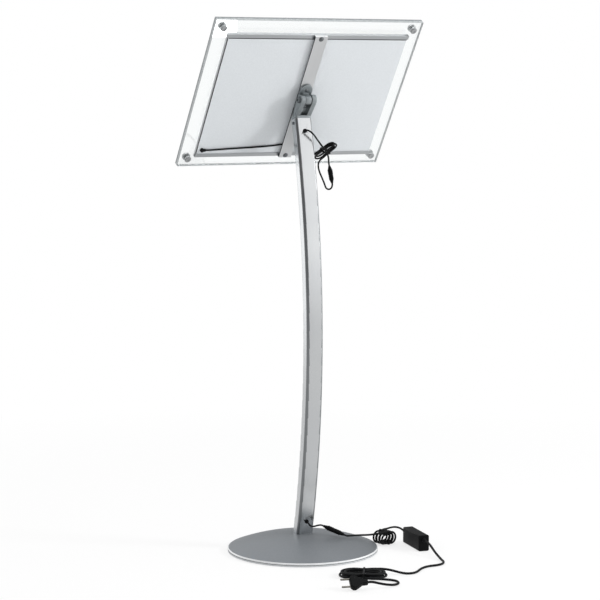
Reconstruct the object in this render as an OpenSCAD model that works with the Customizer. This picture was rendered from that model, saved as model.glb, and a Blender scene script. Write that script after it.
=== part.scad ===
// Floor-standing menu stand: a lit panel that tilts on a curved post over a round domed base,
// with its leads, power adapter and mains plug. Millimetres, +Z up, the reader stands at -Y.
// The origin is the centre of the base, on the floor.

/* [Base] */
// Radius of the base cover
base_r = 168; // [160:1:176]
// Height of the top of the rolled rim
rim_h = 8.5; // [8:0.5:10]
// Height of the flat seat in the middle of the dome
seat_h = 39; // [36:1:42]
// Sheet thickness of the base cover
cover_t = 2; // [1.5:0.1:2.5]
// Thickness of the weight's disc
weight_t = 7; // [6:0.5:8]
// Height of the rubber feet
foot_h = 2; // [1.5:0.1:3]

/* [Post] */
// Width of the post
post_w = 40; // [36:1:44]
// Depth of the post
post_d = 25; // [23:1:28]
// Wall of the post
post_t = 1.8; // [1.5:0.1:2.4]
// Radius of the post's arc
post_arc_r = 2050; // [1950:10:2200]
// Height at which the post bulges farthest
post_mid_h = 483; // [470:1:496]
// Height of the post's top end
post_top_h = 962; // [955:1:966]

/* [Tilt joint] */
// Height of the tilt axis above the post's top end, along the post
pivot_h = 35; // [34:0.1:37]
// Distance of the tilt axis behind the post's middle line, square to the post
pivot_y = 36.4; // [35.5:0.1:37.5]
// Radius of the round ends of the two cheeks
eye_r = 11.5; // [10.5:0.5:12]
// Radius of the tilt bolt
bolt_r = 4; // [3:0.5:4.5]
// Radial clearance of the tilt bolt
bolt_gap = 0.05; // [0.02:0.01:0.1]
// Gap between the knuckle and each cheek, filled by a washer
cheek_gap = 1; // [0.8:0.1:1.5]

/* [Panel] */
// Width of the acrylic sheets
panel_w = 500; // [490:1:520]
// Height of the acrylic sheets
panel_h = 377; // [370:1:390]
// Thickness of the back sheet
back_sheet_t = 8; // [7:0.5:9]
// Thickness of the front cover
front_cover_t = 5; // [4:0.5:6]
// Lean of the panel from upright
tilt = 34; // [32:1:38]
// Distance of the tilt axis behind the back sheet
pivot_back = 31.4; // [31:0.1:33]
// Height of the tilt axis above the panel's middle, along the panel
pivot_up = 7.5; // [6:0.5:9]
// Width of the light unit
unit_w = 438; // [424:1:440]
// Height of the light unit
unit_h = 318; // [304:1:320]
// Depth of the two rails
rail_d = 8.6; // [8.2:0.1:9.2]
// Width of a rail's back flange
rail_flange = 9; // [8:0.5:11]
// Width of the strap
strap_w = 30; // [27:1:32]
// Thickness of the strap
strap_t = 3; // [2.5:0.1:3.5]
// Distance of the corner screws from the sheet's side edges
corner_in_x = 20; // [18:1:22]
// Distance of the corner screws from the sheet's top and bottom edges
corner_in_z = 19.5; // [17:0.5:20]
// Radius of the corner screws' shanks
corner_r = 3; // [2.5:0.1:3.5]

/* [Leads] */
// Diameter of the thin low-voltage lead on the panel and in the post
lead_d = 3.8; // [3.2:0.1:3.9]
// Diameter of the adapter's low-voltage lead
dc_d = 4.4; // [4:0.1:4.5]
// Diameter of the mains lead
mains_d = 5.2; // [4.8:0.1:5.3]

/* [Adapter and plug] */
// Length of the adapter
adapter_l = 94; // [92:0.5:95]
// Width of the adapter
adapter_w = 25; // [23:0.5:27]
// Height of the adapter as it lies
adapter_h = 36; // [34:0.5:38]
// Width of the mains plug at its face
plug_w = 30; // [27:0.5:31]
// Length of the plug's pins
pin_l = 19; // [18:0.5:20]

/* [Hidden] */
$fn = 48;

// Fits: pieces that touch have none, threads and slip fits have these
slip = 0.1;
thread_gap = 0.05;

// Base: the dome is a ball's cap through the seat's edge and the rim's top
seat_r = 26;
rim_round = 2.5;
rim_bottom = 0.5;
rim_from = 67;
dome_edge_r = base_r - rim_round * (1 - cos(rim_from));
dome_edge_h = rim_h - rim_round * (1 - sin(rim_from));
dome_cz = (seat_r^2 - dome_edge_r^2 + seat_h^2 - dome_edge_h^2) / (2 * (seat_h - dome_edge_h));
dome_R = norm([seat_r, seat_h - dome_cz]);
rim_groove_h = 4;
rim_groove_w = 1.2;
rim_groove_in = 0.8;
weight_r = base_r - 16;
boss_r = seat_r - 0.5;
foot_bolt_x = 10;
foot_bolt_r = 4;
foot_head_r = 6.5;
foot_head_h = 5;
pad_r = 11;
pad_ring_r = weight_r - 12;

// Post: an arc in the plane x = 0 whose foot stands over the origin
post_round = 6;
post_apex_y = post_arc_r - sqrt(post_arc_r^2 - (post_mid_h - seat_h)^2);
post_axis_y = post_apex_y - post_arc_r;
top_angle = asin((post_top_h - post_mid_h) / post_arc_r);
foot_angle = asin((seat_h - 10 - post_mid_h) / post_arc_r);
top_y = post_axis_y + post_arc_r * cos(top_angle);
hole_upper_h = 937;
hole_lower_h = 68;
grommet_r = 3.6;
grommet_lip = 1.3;

// Head of the post, in a frame on the post's top end
collar_h = 6;
plug_len = 18;
plug_gap = 0.25;
cheek_in = 8.5;
cheek_t = 10;
cheek_out = cheek_in + cheek_t;
cheek_front = 6 - post_d / 2;
eye_sink = 0.05;
web_t = 4;
web_sink = 0.6;
web_part = 0.52;
knuckle_half = cheek_in - cheek_gap;
axis_y = top_y + pivot_y * cos(top_angle) - pivot_h * sin(top_angle);
axis_h = post_top_h + pivot_y * sin(top_angle) + pivot_h * cos(top_angle);
head_screw_z = -9;
head_screw_r = 2;
bolt_head_r = 7.5;
bolt_head_h = 4;
nut_r = 7.5;
nut_h = 5.5;

// Panel, in a frame with y = 0 on the back sheet's back face
stack = [0.4, 5.6, 0.2, 1.2];
plate_y = stack[0] + stack[1] + stack[2];
plate_back = plate_y + stack[3];
wall_t = 2.5;
strip_t = 1.5;
side_t = 5;
side_back = 2.5;
side_ledge = 3;
gasket_w = side_t - side_ledge;
gasket_top_w = 1.8;
gasket_t = 1;
chip_half = 0.7;
stack_w = unit_w - 2 * side_t;
plate_w = unit_w - 2 * side_ledge;
guide_h = unit_h - 2 * (wall_t + strip_t + 1);
strap_foot = 3.4;
strap_y = rail_d + strap_foot;
strap_back = strap_y + strap_t;
eye_gap = 1;
knuckle_plate_t = pivot_back - eye_r - eye_gap - strap_back;
knuckle_plate_h = 60;
barrel_r = eye_r - 1;
neck_half = barrel_r - 2;
knuckle_screw_z = 16;
strap_screw_z = unit_h / 2 - 6;
corner_x = panel_w / 2 - corner_in_x;
corner_z = panel_h / 2 - corner_in_z;
corner_nut_r = 7.5;
corner_nut_h = 4.5;
nut_step = 1.6;
cap_r = 9;
cap_h = 6;
outlet_x = unit_w / 2 - 13;
outlet_z = 19.5 - unit_h / 2;
outlet_r = 4.5;
outlet_stem_r = 3;
boot_l = 8;
boot_wall = 0.6;

// Routes of the leads. Panel lead: in the panel's frame
lead_y = plate_back + lead_d / 2 + 0.2;
panel_route = [
    [outlet_x - boot_l, lead_y, outlet_z], [outlet_x - boot_l - 8, lead_y, outlet_z], [170, lead_y, -138.5],
    [139, lead_y, -136.5], [90, lead_y, -134], [42, lead_y, -130.5], [14, lead_y, -127], [-4, lead_y, -125],
    [-12, lead_y, -124.5], [-20, lead_y, -124.5]];
slack_start = panel_point(panel_route[len(panel_route) - 1]);

// Hanks: [diameter, straight run, inner radius, step, loops a layer, layers, waist, half turn more,
// side, rise, place, angles]. The step leaves room where the waist draws the loops in.
hank_gap = 0.8;
tie_t = 1.2;
upper_h = [lead_d, 32, 2 * lead_d, (lead_d + hank_gap) / 0.9, 1, 2, 0.1, 0.5, 1, 1,
    [-58, -8, 894], [190, -34, 180]];
dc_step = (dc_d + hank_gap) / 0.92;
dc_h = [dc_d, 18, 2 * dc_d, dc_step, 1, 6, 0.08, 0, -1, -1,
    [-194.5, 46, 2 * dc_d + dc_step / 2 + dc_d / 2 + tie_t], [90, 0, 192.3]];
mains_h = [mains_d, 40, 3 * mains_d, (mains_d + hank_gap) / 0.86, 2, 2, 0.14, 0.5, 1, -1,
    [-1, 280, tie_t + 1.5 * mains_d + hank_gap], [0, 0, -30.7]];
upper_path = hank_path(upper_h);
dc_path = hank_path(dc_h);
mains_path = hank_path(mains_h);

upper_in = end_way(upper_path, 1, 0);
upper_last = len(upper_path) - 1;
upper_out = end_way(upper_path, upper_last - 1, upper_last);
slack_route = [
    slack_start, slack_start + [-8, 0, 0], [-36, -71.5, 903.5], [-40, -66, 893], [-39, -58, 879],
    [-34, -49, 866], [-26, -39.5, 856], [-18, -31, 852.5], [-14, -25.5, 857], [-15, -22.3, 865],
    [-22, -21.3, 872.5],
    upper_path[0] + 6 * upper_in, upper_path[0]];

// The two halves of the in-line link hang beside the post
link_bottom = [-72, 2, 821];
link_way = unit([7, 1, 34]);
link_mid = link_bottom + 18 * link_way;
link_top = link_mid + 20 * link_way;
hank_route = [
    upper_path[upper_last], upper_path[upper_last] + 5 * upper_out, [-37.6, 6.2, 869.8], [-36.2, 4.3, 863.5],
    [-37.8, 1.8, 855.5], [-41.5, -0.5, 846.5], [-46.2, -1.8, 837.5], [-51, -2, 828], [-54.9, -1.4, 818.5],
    [-57.2, -0.8, 811.4], [-60, -0.2, 807.8], [-64.4, 0.5, 806.4], [-68.8, 1.1, 807.7], [-71.4, 1.5, 811],
    link_bottom - 4 * link_way, link_bottom];
upper_hole = post_point(hole_upper_h, post_d / 2);
lower_hole = post_point(hole_lower_h, post_d / 2);
upper_way = post_normal(hole_upper_h);
lower_way = post_normal(hole_lower_h);
hole_depth = post_t + 0.6;
post_upper_route = [
    link_top, link_top + 8 * link_way, [-60.5, 7, 875], [-54, 13.5, 885.5], [-43.5, 20, 896], [-32, 24, 907],
    [-21.5, 26.5, 918.5], [-12.5, 27.5, 929], [-5, 25.5, 936], upper_hole + 9 * upper_way,
    upper_hole - hole_depth * upper_way];
inner_route = concat(
    [upper_hole - hole_depth * upper_way, upper_hole - (hole_depth + 5) * upper_way],
    [for (i = [0:9]) post_point(hole_upper_h - 30 - 89 * i, i < 5 ? 3 : -3)],
    [lower_hole - (hole_depth + 5) * lower_way, lower_hole - hole_depth * lower_way]);
coupling_a = [-29, 45, 60];
coupling_way = unit([-46, 9.6, -22.5]);
coupling_mid = coupling_a + 27 * coupling_way;
coupling_b = coupling_mid + 25 * coupling_way;
post_lower_route = [
    lower_hole - hole_depth * lower_way, lower_hole + 6 * lower_way, [-2.5, 31.5, 60.5], [-8, 37.5, 59.5],
    [-15, 41.5, 62], coupling_a - 6 * coupling_way, coupling_a];
dc_last = len(dc_path) - 1;
dc_way_in = end_way(dc_path, 1, 0);
dc_way_out = end_way(dc_path, dc_last - 1, dc_last);
dc_near_route = [
    coupling_b, coupling_b + 6 * coupling_way, [-93, 53, 33], [-108, 47, 31], [-126, 43.5, 29],
    [-146, 45.5, 28], dc_path[0] + 10 * dc_way_in, dc_path[0]];
adapter_c = [-241, 90];
adapter_a = -8.6;
adapter_dir = [-sin(adapter_a), cos(adapter_a), 0];
relief_l = 12;
dc_out_h = adapter_h / 2;
mains_out_h = adapter_h - 11;
dc_in = adapter_end(-1, dc_out_h, relief_l);
mains_in = adapter_end(1, mains_out_h, relief_l);
dc_far_route = [
    dc_path[dc_last], dc_path[dc_last] + 6 * dc_way_out, [-215, 14.2, 30.6], [-225, 11.9, 30.8],
    [-234, 10.6, 30], [-242, 10.8, 27.8], [-248.3, 13.3, 24.5], [-251.6, 18.4, 20.2],
    dc_in - 7 * adapter_dir, dc_in];
floor_z = mains_d / 2;
mains_last = len(mains_path) - 1;
mains_way_in = end_way(mains_path, 1, 0);
mains_way_out = end_way(mains_path, mains_last - 1, mains_last);
mains_near_route = [
    mains_in, mains_in + 10 * adapter_dir, [-228.5, 177, 20], [-227, 196, 11.5], [-225, 216, 5.2],
    [-220.5, 237, floor_z], [-214.5, 254, floor_z], [-202.5, 267.5, floor_z], [-186, 272.5, floor_z],
    [-166.5, 272.5, floor_z], [-148, 279, floor_z], [-132, 291, floor_z], [-119, 303, floor_z],
    [-106, 309.5, floor_z], [-93, 308.5, floor_z], [-82, 301.5, 3.6], [-72, 292, 6], [-62, 283, 8.5],
    mains_path[0] + 14 * mains_way_in, mains_path[0]];
plug_face = [80.6, 367.5, 15];
plug_turn = -16;
plug_roll = -40;
plug_l = 38;
plug_t = 13;
plug_way = [cos(plug_turn), sin(plug_turn), 0];
plug_back = plug_face - plug_l * plug_way;
mains_far_route = [
    mains_path[mains_last], mains_path[mains_last] + 9 * mains_way_out, [-23.5, 333, 3], [-33, 341, floor_z],
    [-38, 354, floor_z], [-35, 368, floor_z], [-25, 379, 3], [-10, 384.5, 4.5], [6, 385.5, 7.5],
    [20, 383.8, 11], plug_back - 9 * plug_way, plug_back];

// A point of the panel's frame in the stand's frame
function panel_point(p) = [
    p.x,
    axis_y + (p.y - pivot_back) * cos(tilt) + (p.z - pivot_up) * sin(tilt),
    axis_h - (p.y - pivot_back) * sin(tilt) + (p.z - pivot_up) * cos(tilt)];

// A point in the post at a height, so far behind its middle line
function post_point(h, off) = [0, post_axis_y + sqrt((post_arc_r + off)^2 - (h - post_mid_h)^2), h];

// The direction square to the post's back face at a height
function post_normal(h) = let (a = back_angle(h)) [0, cos(a), sin(a)];
function back_angle(h) = asin((h - post_mid_h) / (post_arc_r + post_d / 2));

// The direction of a path from one of its points to another
function end_way(path, i, j) = unit(path[j] - path[i]);

// A point over the adapter's middle line, at a height and past one of its ends
function adapter_end(side, h, past) =
    [adapter_c.x, adapter_c.y, h] + side * (adapter_l / 2 + past) * adapter_dir;

// Turns a vector about x, y and z in that order
function turned(p, a) = let (
    x1 = [p.x, p.y * cos(a.x) - p.z * sin(a.x), p.y * sin(a.x) + p.z * cos(a.x)],
    y1 = [x1.x * cos(a.y) + x1.z * sin(a.y), x1.y, x1.z * cos(a.y) - x1.x * sin(a.y)])
    [y1.x * cos(a.z) - y1.y * sin(a.z), y1.x * sin(a.z) + y1.y * cos(a.z), y1.z];

function smooth_step(t) = let (u = min(max(t, 0), 1)) u * u * (3 - 2 * u);

// One point of a hank's loops after so many turns. A turn starts in the middle of the first run.
function hank_point(h, turns) = let (
    d = h[0], run = h[1], r_in = h[2], step = h[3], loops = h[4], layers = h[5],
    layer = min(max(floor(turns / loops + 0.0001), 0), layers - 1),
    along = turns - layer * loops,
    r = layer % 2 == 0 ? r_in + step * (loops - along) : r_in + step * along,
    f = (turns - floor(turns)) * 24,
    x = f < 3 ? run / 2 * f / 3
        : f < 9 ? run / 2 + r * sin((f - 3) * 30)
        : f < 15 ? run / 2 * (12 - f) / 3
        : f < 21 ? -run / 2 - r * sin((f - 15) * 30)
        : run / 2 * (f - 24) / 3,
    y0 = f < 3 || f >= 21 ? -r
        : f < 9 ? -r * cos((f - 3) * 30)
        : f < 15 ? r
        : r * cos((f - 15) * 30),
    drawn = abs(x) < run / 2 ? 1 - h[6] * cos(180 * x / run)^2 : 1,
    climbs = [for (k = [1:layers - 1]) smooth_step((turns - k * loops) * 24 / 6 + 0.5)],
    level = climbs * [for (c = climbs) 1])
    turned([x, y0 * drawn * h[8], h[9] * level * (d + hank_gap)], h[11]) + h[10];

// A whole hank: one diameter of straight lead, the loops, and straight lead again
function hank_path(h) = let (
    last = round((h[4] * h[5] + h[7]) * 24) + 3,
    loops = [for (i = [-3:last]) hank_point(h, i / 24)],
    way_in = h[0] * turned([1, 0, 0], h[11]),
    way_out = h[7] == 0 ? way_in : -way_in)
    concat([loops[0] - way_in], loops, [loops[len(loops) - 1] + way_out]);

function segment_gap(p, a, b) = let (
    v = b - a,
    t = min(max((p - a) * v / (v * v), 0), 1))
    norm(p - a - t * v);

// Least gap between stretches of a tube that are at least a third of a turn apart
function least_gap(path, d) = min([
    for (i = [0:len(path) - 10])
        for (j = [i + 8:len(path) - 2])
            segment_gap(path[i], path[j], path[j + 1])]) - d;

function unit(v) = v / norm(v);

function tangent(path, i) =
    i == 0 ? unit(path[1] - path[0])
    : i == len(path) - 1 ? unit(path[i] - path[i - 1])
    : unit(unit(path[i + 1] - path[i]) + unit(path[i] - path[i - 1]));

function square_to(n, t) = unit(n - (n * t) * t);

// Carries a side direction along a path without twist
function sides(path, i, n) =
    i == len(path) ? []
    : let (m = square_to(n, tangent(path, i))) concat([m], sides(path, i + 1, m));

function first_side(t) = abs(t.z) < 0.9 ? [0, 0, 1] : [1, 0, 0];

// A closed tube along a path
module tube(path, d, k) {
    count = len(path);
    normals = sides(path, 0, first_side(tangent(path, 0)));
    points = [
        for (i = [0:count - 1])
            let (t = tangent(path, i), n = normals[i], b = cross(t, n))
                for (j = [0:k - 1])
                    path[i] + d / 2 * (cos(360 * j / k) * n + sin(360 * j / k) * b)];
    walls = [
        for (i = [0:count - 2])
            for (j = [0:k - 1])
                let (a = i * k + j, b = i * k + (j + 1) % k)
                    for (f = [[a, a + k, b + k], [a, b + k, b]]) f];
    first = [for (j = [1:k - 2]) [0, j, j + 1]];
    last = [for (j = [1:k - 2]) [(count - 1) * k, (count - 1) * k + j + 1, (count - 1) * k + j]];
    polyhedron(points, concat(walls, first, last), convexity = 10);
}

module lead(path, d) {
    color("#1b1c1e") tube(path, d, 8);
}

module hank(path, d) {
    echo(least_gap = least_gap(path, d));
    color("#1b1c1e") tube(path, d, 6);
}

// A band round the waist of a hank
module tie(h) {
    d = h[0];
    first_r = (h[2] + h[3] * h[4]) * (1 - h[6]);
    last_r = first_r + h[3] * (h[7] == 0 ? -0.5 : h[7]) * (1 - h[6]);
    wide = first_r + last_r + d;
    high = (h[5] - 1) * (d + hank_gap) + d;
    color("#2a2b2d") translate(h[10]) rotate(h[11])
        translate([0, h[8] * (last_r - first_r) / 2, h[9] * (high - d) / 2])
            rotate([90, 0, 90]) linear_extrude(4, center = true) difference() {
                square([wide + 2 * tie_t, high + 2 * tie_t], center = true);
                square([wide, high], center = true);
            }
}

// Half of a connector: a ribbed round body at the joint, tapered towards its lead
module connector(joint, end, r, d) {
    axis = end - joint;
    body_l = norm(axis) * 0.6;
    translate(joint) rotate([0, acos(axis.z / norm(axis)), atan2(axis.y, axis.x)]) {
        cylinder(h = body_l, r = r);
        translate([0, 0, body_l]) cylinder(h = norm(axis) - body_l, r1 = r - 0.4, r2 = d / 2 + 0.7);
        for (i = [0:2]) translate([0, 0, body_l * (i + 0.6) / 3.2]) cylinder(h = body_l / 6, r = r + 0.4);
    }
}

function arc_points(cx, cy, r, a0, a1, n) =
    [for (i = [0:n]) [cx + r * cos(a0 + (a1 - a0) * i / n), cy + r * sin(a0 + (a1 - a0) * i / n)]];

module rounded_rect(w, h, r) {
    square([w - 2 * r, h], center = true);
    square([w, h - 2 * r], center = true);
    for (x = [r - w / 2, w / 2 - r]) for (y = [r - h / 2, h / 2 - r]) translate([x, y]) circle(r);
}

// Post
module post_arc(w, d, r, from, to) {
    translate([0, post_axis_y, post_mid_h]) rotate([90, 0, 90]) rotate([0, 0, from])
        rotate_extrude(angle = to - from, $fn = 180) translate([post_arc_r, 0]) rounded_rect(d, w, r);
}

module above(h) {
    translate([-100, -200, h]) cube([200, 400, 2000]);
}

// A frame on the post's back face, z outward
module on_back(h) {
    translate(post_point(h, post_d / 2)) rotate([back_angle(h) - 90, 0, 0]) children();
}

module on_head() {
    translate([0, top_y, post_top_h]) rotate([top_angle, 0, 0]) children();
}

module on_axis() {
    translate([0, axis_y, axis_h]) children();
}

module on_pivot() {
    on_axis() rotate([-tilt, 0, 0]) children();
}

module on_panel() {
    on_pivot() translate([0, -pivot_back, -pivot_up]) children();
}

module bar_x(r, from, to) {
    translate([from, 0, 0]) rotate([0, 90, 0]) cylinder(h = to - from, r = r);
}

// A cylinder along the panel's depth
module peg(x, z, r, from, to) {
    translate([x, from, z]) rotate([-90, 0, 0]) cylinder(h = to - from, r = r);
}

module slab(w, h, from, to, mid = 0) {
    translate([-w / 2, from, mid - h / 2]) cube([w, to - from, h]);
}

module at_corners() {
    for (x = [-corner_x, corner_x]) for (z = [-corner_z, corner_z]) translate([x, 0, z]) children();
}

// Base
function dome_at(r, less) = dome_cz + sqrt((dome_R - less)^2 - r^2);

module base_cover() {
    n = 14;
    edge_in = base_r - rim_round - 1;
    outer = concat(
        [[0, seat_h], [seat_r, seat_h]],
        [for (i = [1:n]) let (r = seat_r + (dome_edge_r - seat_r) * i / n) [r, dome_at(r, 0)]],
        arc_points(base_r - rim_round, rim_h - rim_round, rim_round, rim_from - 7, 0, 5),
        [for (p = [[0, 1], [1, 1], [1, -1], [0, -1]])
            [base_r - p[0] * rim_groove_in, rim_groove_h + p[1] * rim_groove_w / 2]],
        [[base_r, rim_bottom]]);
    inner = concat(
        [[base_r - cover_t, rim_bottom], [base_r - cover_t, rim_h - rim_round]],
        [for (i = [n:-1:0]) let (r = seat_r + (edge_in - seat_r) * i / n) [r, dome_at(r, cover_t)]],
        [[seat_r, seat_h - cover_t], [0, seat_h - cover_t]]);
    color("#8b9095") difference() {
        rotate_extrude($fn = 160) polygon(concat(outer, inner));
        foot_bolt_holes();
    }
}

module foot_bolt_holes() {
    for (x = [-foot_bolt_x, foot_bolt_x])
        translate([x, 0, -1]) cylinder(h = seat_h + 30, r = foot_bolt_r + thread_gap);
}

module base_weight() {
    color("#3c3f42") difference() {
        union() {
            translate([0, 0, foot_h]) cylinder(h = weight_t, r = weight_r, $fn = 120);
            translate([0, 0, foot_h]) cylinder(h = seat_h - cover_t - foot_h, r = boss_r);
        }
        foot_bolt_holes();
        for (x = [-foot_bolt_x, foot_bolt_x])
            translate([x, 0, 0]) cylinder(h = foot_h + foot_head_h, r = foot_head_r + slip);
    }
}

module base_feet() {
    color("#222326") for (i = [0:5])
        rotate([0, 0, 60 * i + 30]) translate([pad_ring_r, 0, 0]) cylinder(h = foot_h, r = pad_r);
}

module foot_plug() {
    color("#9b9fa3") difference() {
        intersection() {
            post_arc(post_w - 2 * (post_t + slip), post_d - 2 * (post_t + slip), post_round - post_t,
                foot_angle, foot_angle + 2);
            translate([-100, -200, seat_h]) cube([200, 400, 18]);
        }
        foot_bolt_holes();
    }
}

module foot_bolts() {
    color("#6d7073") for (x = [-foot_bolt_x, foot_bolt_x]) translate([x, 0, foot_h]) {
        difference() {
            cylinder(h = foot_head_h, r = foot_head_r);
            translate([0, 0, -1]) cylinder(h = 4, r = 3.2, $fn = 6);
        }
        cylinder(h = seat_h + 15 - foot_h, r = foot_bolt_r);
    }
}

module post() {
    color("#c9ccce") difference() {
        intersection() {
            post_arc(post_w, post_d, post_round, foot_angle, top_angle);
            above(seat_h);
        }
        post_arc(post_w - 2 * post_t, post_d - 2 * post_t, post_round - post_t,
            foot_angle - 1, top_angle + 1);
        for (h = [hole_upper_h, hole_lower_h])
            on_back(h) translate([0, 0, -6]) cylinder(h = 20, r = grommet_r);
        on_head() head_screw_holes();
    }
}

module head_screw_holes() {
    translate([0, 0, head_screw_z]) bar_x(head_screw_r + thread_gap, -post_w, post_w);
}

module post_grommet(h) {
    color("#17181a") on_back(h) difference() {
        union() {
            translate([0, 0, 0.02]) cylinder(h = grommet_lip, r = grommet_r + 1);
            translate([0, 0, -hole_depth]) cylinder(h = hole_depth + 0.5, r = grommet_r - thread_gap);
        }
        translate([0, 0, -10]) cylinder(h = 20, r = lead_d / 2 + thread_gap);
    }
}

module post_grommet_upper() {
    post_grommet(hole_upper_h);
}

module post_grommet_lower() {
    post_grommet(hole_lower_h);
}

// Tilt joint
function touch_point(p, c, r, side) = let (
    v = p - c,
    a = atan2(v.y, v.x) + side * acos(r / norm(v)))
    c + r * [cos(a), sin(a)];

module cheek_outline() {
    eye = [pivot_y, pivot_h];
    front = [cheek_front, collar_h - 1];
    back = [post_d / 2, collar_h - 1];
    r = eye_r - eye_sink;
    polygon([front, back, touch_point(back, eye, r, 1), eye, touch_point(front, eye, r, -1)]);
}

// The wall that closes the fork's front between the cheeks
module web_outline() {
    front = [cheek_front, collar_h - 1];
    line = touch_point(front, [pivot_y, pivot_h], eye_r - eye_sink, -1) - front;
    way = line / norm(line);
    polygon([for (p = [[0, web_sink], [0, web_sink + web_t], [web_part, web_sink + web_t], [web_part, web_sink]])
        front + p[0] * line + p[1] * (p[0] > 0 ? [way.y, -way.x] : [1 / way.y, 0])]);
}

module across(from, to) {
    translate([from, 0, 0]) rotate([90, 0, 90]) linear_extrude(to - from) children();
}

module post_head() {
    color("#8f9598") on_head() difference() {
        union() {
            linear_extrude(collar_h) rounded_rect(post_w, post_d, post_round);
            translate([0, 0, -plug_len]) linear_extrude(plug_len) rounded_rect(
                post_w - 2 * (post_t + plug_gap), post_d - 2 * (post_t + plug_gap), post_round - post_t);
            for (x = [-cheek_out, cheek_in]) {
                across(x, x + cheek_t) cheek_outline();
                translate([0, pivot_y, pivot_h]) bar_x(eye_r, x, x + cheek_t);
            }
            across(-cheek_in, cheek_in) web_outline();
        }
        translate([0, pivot_y, pivot_h]) {
            bar_x(bolt_r + bolt_gap, -post_w, post_w);
            translate([-post_w, 0, 0]) hex_bar(nut_r + slip, post_w - cheek_out + nut_h);
        }
        head_screw_holes();
    }
}

// A six-sided bar along x with a corner up
module hex_bar(r, l) {
    rotate([0, 90, 0]) cylinder(h = l, r = r, $fn = 6);
}

module head_screws() {
    color("#5f6366") on_head() translate([0, 0, head_screw_z]) for (a = [0, 180])
        rotate([0, 0, a]) {
            bar_x(head_screw_r, 9, post_w / 2);
            bar_x(head_screw_r + 1.6, post_w / 2, post_w / 2 + 1.4);
        }
}

module tilt_bolt() {
    color("#54585b") on_axis() difference() {
        union() {
            bar_x(bolt_r, -cheek_out, cheek_out);
            bar_x(bolt_head_r, cheek_out, cheek_out + bolt_head_h - 1);
            bar_x(bolt_head_r - 1, cheek_out + bolt_head_h - 1, cheek_out + bolt_head_h);
        }
        translate([cheek_out + bolt_head_h - 2.5, 0, 0]) hex_bar(3, 5);
    }
}

module tilt_nut() {
    color("#54585b") on_axis() rotate([top_angle, 0, 0]) difference() {
        translate([-cheek_out, 0, 0]) hex_bar(nut_r, nut_h);
        bar_x(bolt_r + thread_gap, -cheek_out - 1, -cheek_out + nut_h + 1);
    }
}

module friction_washers() {
    color("#3a3c3e") on_axis() for (x = [-cheek_in, cheek_in - cheek_gap + 0.1])
        difference() {
            bar_x(barrel_r - 0.5, x, x + cheek_gap - 0.1);
            bar_x(bolt_r + bolt_gap, x - 1, x + cheek_gap + 1);
        }
}

module tilt_knuckle() {
    plate_from = strap_back - pivot_back;
    plate_to = plate_from + knuckle_plate_t;
    arch_r = strap_w / 2;
    color("#989ea1") on_pivot() difference() {
        union() {
            slab(strap_w, knuckle_plate_h - 2 * arch_r, plate_from, plate_to);
            for (z = [-1, 1]) peg(0, z * (knuckle_plate_h / 2 - arch_r), arch_r, plate_from, plate_to);
            bar_x(barrel_r, -knuckle_half, knuckle_half);
            slab(2 * knuckle_half, 2 * neck_half, plate_to - 0.5, 0);
        }
        bar_x(bolt_r + bolt_gap, -post_w, post_w);
        for (z = [-1, 1]) peg(0, z * knuckle_screw_z, 2 + thread_gap, plate_from - 1, plate_to + 1);
    }
}

module dome_screw(x, z, r, seat, deep, shank) {
    head_h = r * 0.55;
    ball = (r^2 + head_h^2) / (2 * head_h);
    peg(x, z, shank, seat - deep, seat + 0.2);
    intersection() {
        translate([x, seat + head_h - ball, z]) sphere(r = ball);
        peg(x, z, r, seat, seat + head_h + 1);
    }
}

module knuckle_screws() {
    color("#6b6f72") on_panel() for (z = [-1, 1])
        dome_screw(0, pivot_up + z * knuckle_screw_z, 3.8, strap_back + knuckle_plate_t,
            knuckle_plate_t + strap_t, 2);
}

// Panel. The strap stands on the two rails with a foot at each end.
module strap() {
    color("#bcbebf") on_panel() difference() {
        union() {
            slab(strap_w, unit_h, strap_y, strap_back);
            for (z = [-1, 1])
                slab(strap_w, rail_flange, rail_d, strap_y + 0.1, z * (unit_h - rail_flange) / 2);
        }
        for (z = [-1, 1]) {
            peg(0, z * strap_screw_z, 2.5 + thread_gap, rail_d - 1, strap_back + 1);
            peg(0, pivot_up + z * knuckle_screw_z, 2 + thread_gap, strap_y - 1, strap_back + 1);
        }
    }
}

module strap_screws() {
    color("#8d9193") on_panel() for (z = [-1, 1])
        dome_screw(0, z * strap_screw_z, 6, strap_back, strap_back - plate_back - slip, 2.5);
}

// One rail: an outer wall and a flange that holds the back plate's edge
module rail(side) {
    edge = side * unit_h / 2;
    color("#a9adb0") on_panel() difference() {
        union() {
            slab(unit_w, wall_t, 0, rail_d, edge - side * wall_t / 2);
            slab(unit_w, rail_flange, plate_back, rail_d, edge - side * rail_flange / 2);
        }
        peg(0, side * strap_screw_z, 2.5 + thread_gap, plate_back - 1, rail_d + 1);
    }
}

module rail_top() {
    rail(1);
}

module rail_bottom() {
    rail(-1);
}

module side_rails() {
    color("#a9adb0") on_panel() for (s = [-1, 1])
        translate([s * (unit_w - side_t) / 2, 0, 0]) slab(side_t, unit_h - 2 * wall_t, 0, side_back);
}

// A dark seal: under the back plate's two sides, and on it along the top rail
module plate_gasket() {
    color("#2f3133") on_panel() {
        for (s = [-1, 1]) translate([s * (plate_w - gasket_w) / 2, 0, 0])
            slab(gasket_w, unit_h - 2 * wall_t, side_back, plate_y);
        slab(plate_w, gasket_top_w, plate_back, plate_back + gasket_t,
            unit_h / 2 - rail_flange - gasket_top_w / 2);
    }
}

module back_plate() {
    color("#d6dadd") on_panel() difference() {
        slab(plate_w, unit_h - 2 * wall_t, plate_y, plate_back);
        peg(outlet_x, outlet_z, outlet_stem_r, plate_y - 1, plate_back + 1);
    }
}

module reflector() {
    color("#f2f3f3") on_panel() slab(stack_w, guide_h, stack[0] + stack[1], plate_y);
}

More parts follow.
